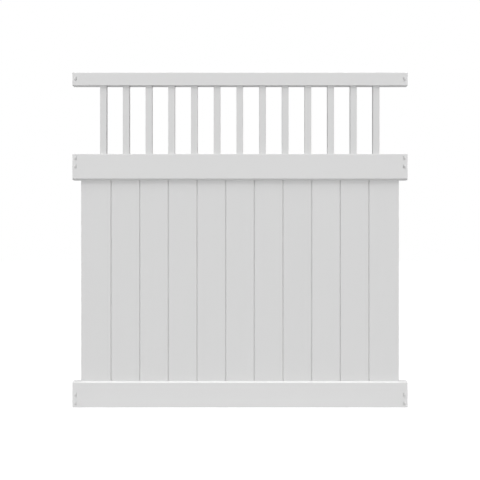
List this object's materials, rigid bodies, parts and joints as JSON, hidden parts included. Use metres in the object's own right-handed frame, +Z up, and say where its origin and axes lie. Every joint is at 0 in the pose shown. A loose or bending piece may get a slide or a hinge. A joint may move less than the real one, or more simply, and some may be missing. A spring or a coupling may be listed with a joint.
{
  "type": "vinyl fence panel",
  "caption": "White vinyl privacy fence panel: tongue-and-groove boards between hollow rails, with an open row of square balusters under the top rail and snap-in rail ends.",
  "frame": {"origin": "middle of the underside of the bottom rail", "axes": "+X along the panel to the right seen from the front, +Y through the panel from front to back, +Z up"},
  "size_m": [1.778, 0.0568, 1.776],
  "materials": {
    "rail_vinyl": "satin",
    "board_vinyl": "satin",
    "baluster_vinyl": "satin"
  },
  "bodies": {
    "root": {"bottom_rail": "rail_vinyl", "mid_rail": "rail_vinyl", "top_rail": "rail_vinyl", "board_01": "board_vinyl", "board_02": "board_vinyl", "board_03": "board_vinyl", "board_04": "board_vinyl", "board_05": "board_vinyl", "board_06": "board_vinyl", "board_07": "board_vinyl", "board_08": "board_vinyl", "board_09": "board_vinyl", "board_10": "board_vinyl", "board_11": "board_vinyl", "baluster_01": "baluster_vinyl", "baluster_02": "baluster_vinyl", "baluster_03": "baluster_vinyl", "baluster_04": "baluster_vinyl", "baluster_05": "baluster_vinyl", "baluster_06": "baluster_vinyl", "baluster_07": "baluster_vinyl", "baluster_08": "baluster_vinyl", "baluster_09": "baluster_vinyl", "baluster_10": "baluster_vinyl", "baluster_11": "baluster_vinyl", "baluster_12": "baluster_vinyl", "baluster_13": "baluster_vinyl"}
  },
  "joints": []
}
